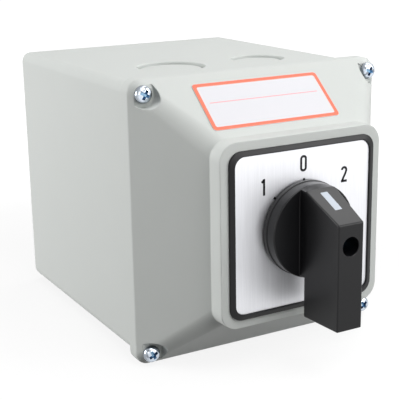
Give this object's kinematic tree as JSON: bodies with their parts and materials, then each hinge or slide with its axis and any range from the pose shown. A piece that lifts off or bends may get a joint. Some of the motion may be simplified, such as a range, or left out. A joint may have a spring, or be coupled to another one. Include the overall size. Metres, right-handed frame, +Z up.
{
  "type": "rotary changeover switch",
  "caption": "Rotary changeover switch with a turn handle, a square dial plate with three positions and a plastic wall box with a sloping screwed cover.",
  "frame": {"origin": "middle of the box's wall side, at the centre of the four wall fixing holes", "axes": "+X right seen from the front, +Z up, +Y into the wall along the handle's axis, so the dial faces -Y"},
  "size_m": [0.11, 0.1757, 0.11],
  "materials": {
    "grey_plastic": "satin moulded, warm light grey",
    "black_plastic": "satin moulded, black",
    "dark_plastic": "matt, dark grey",
    "cream_plastic": "matt, cream",
    "white_plastic": "matt, white",
    "red_plastic": "matt, brick red",
    "rubber": "matt black",
    "zinc_steel": "zinc plated with a blue tint",
    "bare_steel": "bare",
    "plate_aluminium": "brushed upright",
    "contact_brass": "bare",
    "label_white": "white sticker with an orange-red border",
    "marker_white": "white inlay"
  },
  "bodies": {
    "housing": {"base_box": "grey_plastic", "cover": "grey_plastic", "cover_gasket": "rubber", "cover_screws": "zinc_steel", "label": "label_white", "dial_frame": "black_plastic", "dial_plate": "plate_aluminium", "panel_screws": "zinc_steel", "panel_gasket": "rubber", "shaft_seal": "rubber", "mounting_flange": "dark_plastic", "detent_housing": "dark_plastic", "detent_spring_left": "bare_steel", "detent_spring_right": "bare_steel", "deck_1": "cream_plastic", "deck_2": "cream_plastic", "deck_3": "cream_plastic", "deck_4": "cream_plastic", "fixed_contacts_1": "contact_brass", "fixed_contacts_2": "contact_brass", "fixed_contacts_3": "contact_brass", "fixed_contacts_4": "contact_brass", "terminal_screws": "zinc_steel", "contact_springs_left": "bare_steel", "contact_springs_right": "bare_steel", "end_plate": "dark_plastic", "tie_bolts": "zinc_steel", "tie_washers": "zinc_steel"},
    "rotor": {"handle": "black_plastic", "handle_marker": "marker_white", "handle_screw": "zinc_steel", "shaft": "bare_steel", "retaining_ring": "bare_steel", "star_wheel": "cream_plastic", "stop_lever": "bare_steel", "cam_1": "red_plastic", "cam_2": "red_plastic", "cam_3": "red_plastic", "cam_4": "red_plastic"},
    "left_contacts": {"plunger_left_1": "white_plastic", "plunger_left_2": "white_plastic", "plunger_left_3": "white_plastic", "plunger_left_4": "white_plastic", "bridge_left_1": "contact_brass", "bridge_left_2": "contact_brass", "bridge_left_3": "contact_brass", "bridge_left_4": "contact_brass"},
    "right_contacts": {"plunger_right_1": "white_plastic", "plunger_right_2": "white_plastic", "plunger_right_3": "white_plastic", "plunger_right_4": "white_plastic", "bridge_right_1": "contact_brass", "bridge_right_2": "contact_brass", "bridge_right_3": "contact_brass", "bridge_right_4": "contact_brass"},
    "left_detent": {"detent_plunger_left": "white_plastic"},
    "right_detent": {"detent_plunger_right": "white_plastic"}
  },
  "joints": [
    {"name": "handle_turn", "type": "hinge", "parent": "housing", "child": "rotor", "pos_m": [0, -0.15, 0], "axis": [0, -1, 0], "range_deg": [-45, 45]},
    {"name": "left_contacts_slide", "type": "slide", "parent": "housing", "child": "left_contacts", "axis": [1, 0, 0], "range_m": [-0.0015, 0.0015], "deforming": ["contact_springs_left"]},
    {"name": "right_contacts_slide", "type": "slide", "parent": "housing", "child": "right_contacts", "axis": [-1, 0, 0], "range_m": [-0.0015, 0.0015], "deforming": ["contact_springs_right"]},
    {"name": "left_detent_slide", "type": "slide", "parent": "housing", "child": "left_detent", "axis": [1, 0, 0], "range_m": [0, 0.0012], "stiffness_N_per_m": 400, "deforming": ["detent_spring_left"]},
    {"name": "right_detent_slide", "type": "slide", "parent": "housing", "child": "right_detent", "axis": [-1, 0, 0], "range_m": [0, 0.0012], "stiffness_N_per_m": 400, "deforming": ["detent_spring_right"]}
  ],
  "couplings": [
    {"joint": "left_contacts_slide", "follows": "handle_turn", "m_per_rad": 0.0019098},
    {"joint": "right_contacts_slide", "follows": "handle_turn", "m_per_rad": -0.0019098},
    {"joint": "right_detent_slide", "follows": "left_detent_slide", "ratio": 1}
  ]
}
